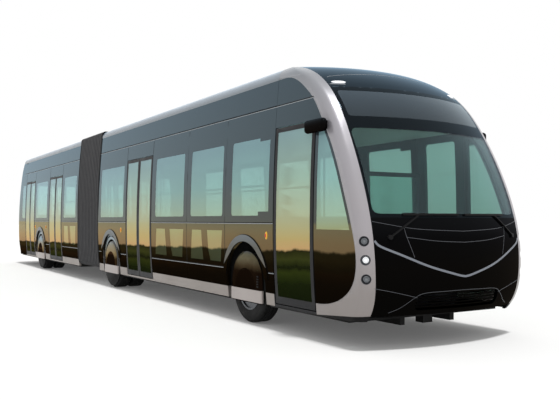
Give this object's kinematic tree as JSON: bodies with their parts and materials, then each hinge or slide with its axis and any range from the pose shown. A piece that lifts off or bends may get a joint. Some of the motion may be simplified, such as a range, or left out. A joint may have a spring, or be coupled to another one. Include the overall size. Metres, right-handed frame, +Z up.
{
  "type": "articulated bus",
  "caption": "Articulated low-floor electric city bus with a bellows joint, steered front wheels and glazed doors that swing inward.",
  "frame": {"origin": "on the ground, at the middle of the overall length and width", "axes": "+X forward, +Y to the bus's left, +Z up"},
  "size_m": [18.7381, 2.6974, 3.3999],
  "materials": {
    "black_panel": "high-gloss black and blue-grey body panels",
    "silver_paint": "silver metallic paint",
    "window_glass": "green-tinted safety glass",
    "windscreen_glass": "tinted laminated glass with black borders",
    "door_frame": "black leaf with bonded glass",
    "floor_vinyl": "grey vinyl floor on a black frame",
    "white_panel": "light grey ceiling panel",
    "pack_case": "grey painted battery case",
    "arch_trim": "dark grey arch trim and wheel covers",
    "cover_black": "grey wheel cover on a cast knuckle",
    "cast_axle": "black painted castings",
    "tyre": "black rubber",
    "rim": "forged aluminium",
    "bellows_fabric": "coated grey bellows fabric",
    "turntable_plate": "ribbed aluminium floor plate",
    "bearing_steel": "dark steel bearing and tongue",
    "lamp": "lamp housings with clear lenses",
    "tail_lamp": "red lamp lens",
    "pod": "gloss black camera pods",
    "wiper": "black wiper arms and blades",
    "cab": "black dashboard moulding",
    "seat": "grey-green seat cloth over shells",
    "grab_rail": "powder-coated grab rails"
  },
  "bodies": {
    "front_section": {"side_bays_front": "black_panel", "side_glass_front": "window_glass", "cantrail_front": "black_panel", "sill_front": "silver_paint", "front_hoop": "silver_paint", "front_mask": "black_panel", "windscreen": "windscreen_glass", "roof_dome": "black_panel", "lamps_front": "lamp", "roof_cowl_front": "silver_paint", "ceiling_front": "white_panel", "battery_pack_front": "pack_case", "floor_front": "floor_vinyl", "arch_trim_front": "arch_trim", "front_axle": "cast_axle", "middle_axle": "cast_axle", "bellows": "bellows_fabric", "turntable": "turntable_plate", "seats_front": "seat", "handrails_front": "grab_rail", "driver_cab": "cab", "camera_pods": "pod", "wipers": "wiper"},
    "rear_section": {"side_bays_rear": "black_panel", "side_glass_rear": "window_glass", "cantrail_rear": "black_panel", "sill_rear": "silver_paint", "tail_shell": "black_panel", "tail_lamps": "tail_lamp", "roof_cowl_rear": "silver_paint", "ceiling_rear": "white_panel", "battery_pack_rear": "pack_case", "floor_rear": "floor_vinyl", "arch_trim_rear": "arch_trim", "drive_axle": "cast_axle", "turntable_bearing": "bearing_steel", "seats_rear": "seat", "handrails_rear": "grab_rail"},
    "steer_left": {"knuckle_left": "cover_black"},
    "wheel_front_left": {"tyre_front_left": "tyre", "rim_front_left": "rim"},
    "wheel_middle_left": {"tyres_middle_left": "tyre", "rims_middle_left": "rim"},
    "wheel_rear_left": {"tyres_rear_left": "tyre", "rims_rear_left": "rim"},
    "steer_right": {"knuckle_right": "cover_black"},
    "wheel_front_right": {"tyre_front_right": "tyre", "rim_front_right": "rim"},
    "wheel_middle_right": {"tyres_middle_right": "tyre", "rims_middle_right": "rim"},
    "wheel_rear_right": {"tyres_rear_right": "tyre", "rims_rear_right": "rim"},
    "door_1": {"door_1_leaf": "door_frame"},
    "door_2_front": {"door_2_front_leaf": "door_frame"},
    "door_2_rear": {"door_2_rear_leaf": "door_frame"},
    "door_3_front": {"door_3_front_leaf": "door_frame"},
    "door_3_rear": {"door_3_rear_leaf": "door_frame"},
    "door_4_front": {"door_4_front_leaf": "door_frame"},
    "door_4_rear": {"door_4_rear_leaf": "door_frame"}
  },
  "joints": [
    {"name": "articulation", "type": "hinge", "parent": "front_section", "child": "rear_section", "pos_m": [-1.106, 0, 0.34], "axis": [0, 0, 1], "range_deg": [-50, 50], "deforming": ["bellows"]},
    {"name": "steer_left_turn", "type": "hinge", "parent": "front_section", "child": "steer_left", "pos_m": [6.495, 0.99, 0.478], "axis": [0, 0, 1], "range_deg": [-45, 45]},
    {"name": "wheel_front_left_roll", "type": "hinge", "parent": "steer_left", "child": "wheel_front_left", "pos_m": [6.495, 1.067, 0.478], "axis": [0, 1, 0], "continuous": true},
    {"name": "wheel_middle_left_roll", "type": "hinge", "parent": "front_section", "child": "wheel_middle_left", "pos_m": [0.595, 0.929, 0.478], "axis": [0, 1, 0], "continuous": true},
    {"name": "wheel_rear_left_roll", "type": "hinge", "parent": "rear_section", "child": "wheel_rear_left", "pos_m": [-5.955, 0.929, 0.478], "axis": [0, 1, 0], "continuous": true},
    {"name": "steer_right_turn", "type": "hinge", "parent": "front_section", "child": "steer_right", "pos_m": [6.495, -0.99, 0.478], "axis": [0, 0, 1], "range_deg": [-45, 45]},
    {"name": "wheel_front_right_roll", "type": "hinge", "parent": "steer_right", "child": "wheel_front_right", "pos_m": [6.495, -1.067, 0.478], "axis": [0, 1, 0], "continuous": true},
    {"name": "wheel_middle_right_roll", "type": "hinge", "parent": "front_section", "child": "wheel_middle_right", "pos_m": [0.595, -0.929, 0.478], "axis": [0, 1, 0], "continuous": true},
    {"name": "wheel_rear_right_roll", "type": "hinge", "parent": "rear_section", "child": "wheel_rear_right", "pos_m": [-5.955, -0.929, 0.478], "axis": [0, 1, 0], "continuous": true},
    {"name": "door_1_swing", "type": "hinge", "parent": "front_section", "child": "door_1", "pos_m": [8.029, -1.209, 0.34], "axis": [0, 0, -1], "range_deg": [0, 90]},
    {"name": "door_2_front_swing", "type": "hinge", "parent": "front_section", "child": "door_2_front", "pos_m": [2.794, -1.209, 0.34], "axis": [0, 0, -1], "range_deg": [0, 90]},
    {"name": "door_2_rear_swing", "type": "hinge", "parent": "front_section", "child": "door_2_rear", "pos_m": [1.734, -1.209, 0.34], "axis": [0, 0, 1], "range_deg": [0, 90]},
    {"name": "door_3_front_swing", "type": "hinge", "parent": "rear_section", "child": "door_3_front", "pos_m": [-3.666, -1.209, 0.34], "axis": [0, 0, -1], "range_deg": [0, 90]},
    {"name": "door_3_rear_swing", "type": "hinge", "parent": "rear_section", "child": "door_3_rear", "pos_m": [-4.726, -1.209, 0.34], "axis": [0, 0, 1], "range_deg": [0, 90]},
    {"name": "door_4_front_swing", "type": "hinge", "parent": "rear_section", "child": "door_4_front", "pos_m": [-6.866, -1.209, 0.34], "axis": [0, 0, -1], "range_deg": [0, 90]},
    {"name": "door_4_rear_swing", "type": "hinge", "parent": "rear_section", "child": "door_4_rear", "pos_m": [-7.826, -1.209, 0.34], "axis": [0, 0, 1], "range_deg": [0, 90]}
  ],
  "couplings": [
    {"joint": "steer_left_turn", "follows": "steer_right_turn", "ratio": 1},
    {"joint": "door_2_rear_swing", "follows": "door_2_front_swing", "ratio": 1},
    {"joint": "door_3_rear_swing", "follows": "door_3_front_swing", "ratio": 1},
    {"joint": "door_4_rear_swing", "follows": "door_4_front_swing", "ratio": 1}
  ]
}
